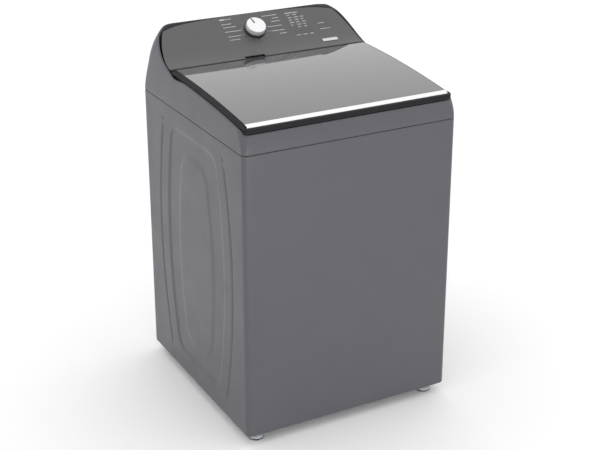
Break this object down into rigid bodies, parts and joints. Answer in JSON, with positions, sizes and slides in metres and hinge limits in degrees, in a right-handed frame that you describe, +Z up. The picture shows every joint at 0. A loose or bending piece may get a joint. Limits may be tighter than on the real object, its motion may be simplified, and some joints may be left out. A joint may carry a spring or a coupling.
{
  "type": "top load washing machine",
  "caption": "Top load washing machine with a hinged glass lid, sloping control panel, suspended tub, spinning basket, agitator and belt drive.",
  "frame": {"origin": "on the floor, at the middle of the footprint", "axes": "+Z up, -Y towards the front, +X towards the right-hand side seen from the front"},
  "size_m": [0.6984, 0.7114, 1.1285],
  "materials": {
    "graphite_paint": "satin graphite enamel",
    "fascia_plastic": "dark grey, fine satin",
    "tinted_glass": "smoked safety glass",
    "bright_trim": "bright anodised",
    "black_plastic": "moulded black",
    "grey_plastic": "moulded light grey",
    "white_plastic": "moulded white",
    "knob_silver": "silver painted",
    "stainless": "brushed stainless steel",
    "galvanised": "zinc coated steel",
    "cast_aluminium": "as cast",
    "spring_steel": "drawn wire",
    "rubber": "moulded black rubber",
    "circuit_board": "green solder mask",
    "blue_plastic": "moulded blue"
  },
  "bodies": {
    "machine_body": {"cabinet": "graphite_paint", "rear_panel": "galvanised", "base_frame": "galvanised", "top_panel": "graphite_paint", "console_fascia": "fascia_plastic", "console_back_cover": "galvanised", "control_board": "circuit_board", "knob_dial_ring": "black_plastic", "badge_plate": "bright_trim", "lid_lock_housing": "black_plastic", "bleach_dispenser": "grey_plastic", "fill_nozzle": "black_plastic", "water_inlet_valve": "white_plastic", "drain_outlet": "grey_plastic", "power_cord_gland": "black_plastic", "lid_hinge_bracket_left": "galvanised", "lid_hinge_bracket_right": "galvanised", "suspension_rod_front_left": "galvanised", "suspension_rod_front_right": "galvanised", "suspension_rod_rear_left": "galvanised", "suspension_rod_rear_right": "galvanised", "suspension_spring_front_left": "spring_steel", "suspension_spring_front_right": "spring_steel", "suspension_spring_rear_left": "spring_steel", "suspension_spring_rear_right": "spring_steel"},
    "lid": {"lid_frame": "black_plastic", "lid_glass": "tinted_glass", "lid_front_trim": "bright_trim", "lid_strike": "galvanised", "lid_hinge_pin_left": "galvanised", "lid_hinge_pin_right": "galvanised"},
    "knob": {"control_knob": "knob_silver"},
    "start_key_cap": {"start_key": "fascia_plastic"},
    "power_key_cap": {"power_key": "fascia_plastic"},
    "option_key_1_cap": {"option_key_1": "fascia_plastic"},
    "option_key_2_cap": {"option_key_2": "fascia_plastic"},
    "option_key_3_cap": {"option_key_3": "fascia_plastic"},
    "lock_bolt": {"lid_lock_bolt": "galvanised"},
    "tub": {"outer_tub": "white_plastic", "tub_ring": "white_plastic", "shaft_bearing": "galvanised", "gearcase": "cast_aluminium", "drive_motor": "galvanised", "drive_belt": "rubber", "drain_pump": "black_plastic", "shift_actuator": "black_plastic"},
    "wash_basket": {"basket": "stainless", "balance_ring": "grey_plastic", "drive_shaft": "galvanised", "drive_pulley": "cast_aluminium"},
    "agitator_body": {"agitator": "grey_plastic", "agitator_cap": "blue_plastic"},
    "motor_shaft": {"motor_pulley": "galvanised"},
    "impeller": {"pump_impeller": "grey_plastic"},
    "shifter": {"shift_lever": "galvanised"},
    "front_left_foot": {"foot_front_left": "rubber"},
    "front_right_foot": {"foot_front_right": "rubber"},
    "rear_left_foot": {"foot_rear_left": "rubber"},
    "rear_right_foot": {"foot_rear_right": "rubber"}
  },
  "joints": [
    {"name": "lid_hinge", "type": "hinge", "parent": "machine_body", "child": "lid", "pos_m": [0, 0.1485, 1.026], "axis": [-1, 0, 0], "range_deg": [0, 100]},
    {"name": "knob_turn", "type": "hinge", "parent": "machine_body", "child": "knob", "pos_m": [0, 0.267, 1.08769], "axis": [0, -0.5736, 0.8191], "continuous": true},
    {"name": "start_key_press", "type": "slide", "parent": "machine_body", "child": "start_key_cap", "axis": [0, 0.5959, -0.803], "range_m": [0, 0.0012], "stiffness_N_per_m": 400},
    {"name": "power_key_press", "type": "slide", "parent": "machine_body", "child": "power_key_cap", "axis": [0, 0.5789, -0.8154], "range_m": [0, 0.0012], "stiffness_N_per_m": 400},
    {"name": "option_key_1_press", "type": "slide", "parent": "machine_body", "child": "option_key_1_cap", "axis": [0, 0.5664, -0.8242], "range_m": [0, 0.0012], "stiffness_N_per_m": 400},
    {"name": "option_key_2_press", "type": "slide", "parent": "machine_body", "child": "option_key_2_cap", "axis": [0, 0.5664, -0.8242], "range_m": [0, 0.0012], "stiffness_N_per_m": 400},
    {"name": "option_key_3_press", "type": "slide", "parent": "machine_body", "child": "option_key_3_cap", "axis": [0, 0.5664, -0.8242], "range_m": [0, 0.0012], "stiffness_N_per_m": 400},
    {"name": "lock_bolt_slide", "type": "slide", "parent": "machine_body", "child": "lock_bolt", "axis": [0, 1, 0], "range_m": [-0.022, 0]},
    {"name": "tub_bounce", "type": "slide", "parent": "machine_body", "child": "tub", "axis": [0, 0, 1], "range_m": [-0.025, 0.01], "stiffness_N_per_m": 20000, "springref_m": 0.021, "deforming": ["suspension_spring_front_left", "suspension_spring_front_right", "suspension_spring_rear_left", "suspension_spring_rear_right"]},
    {"name": "basket_spin", "type": "hinge", "parent": "tub", "child": "wash_basket", "pos_m": [0, -0.01, 0.5], "axis": [0, 0, 1], "continuous": true},
    {"name": "agitator_turn", "type": "hinge", "parent": "wash_basket", "child": "agitator_body", "pos_m": [0, -0.01, 0.5], "axis": [0, 0, 1], "continuous": true},
    {"name": "motor_spin", "type": "hinge", "parent": "tub", "child": "motor_shaft", "pos_m": [0, 0.155, 0.195], "axis": [0, 0, 1], "continuous": true},
    {"name": "pump_spin", "type": "hinge", "parent": "tub", "child": "impeller", "pos_m": [0.165, -0.16, 0.26], "axis": [0, 0, 1], "continuous": true},
    {"name": "shift_lever_slide", "type": "slide", "parent": "tub", "child": "shifter", "axis": [0, 0, -1], "range_m": [0, 0.008]},
    {"name": "foot_front_left_height", "type": "slide", "parent": "machine_body", "child": "front_left_foot", "axis": [0, 0, -1], "range_m": [-0.01, 0.012]},
    {"name": "foot_front_right_height", "type": "slide", "parent": "machine_body", "child": "front_right_foot", "axis": [0, 0, -1], "range_m": [-0.01, 0.012]},
    {"name": "foot_rear_left_height", "type": "slide", "parent": "machine_body", "child": "rear_left_foot", "axis": [0, 0, -1], "range_m": [-0.01, 0.012]},
    {"name": "foot_rear_right_height", "type": "slide", "parent": "machine_body", "child": "rear_right_foot", "axis": [0, 0, -1], "range_m": [-0.01, 0.012]}
  ],
  "couplings": [
    {"joint": "motor_spin", "follows": "basket_spin", "ratio": 7.6}
  ]
}
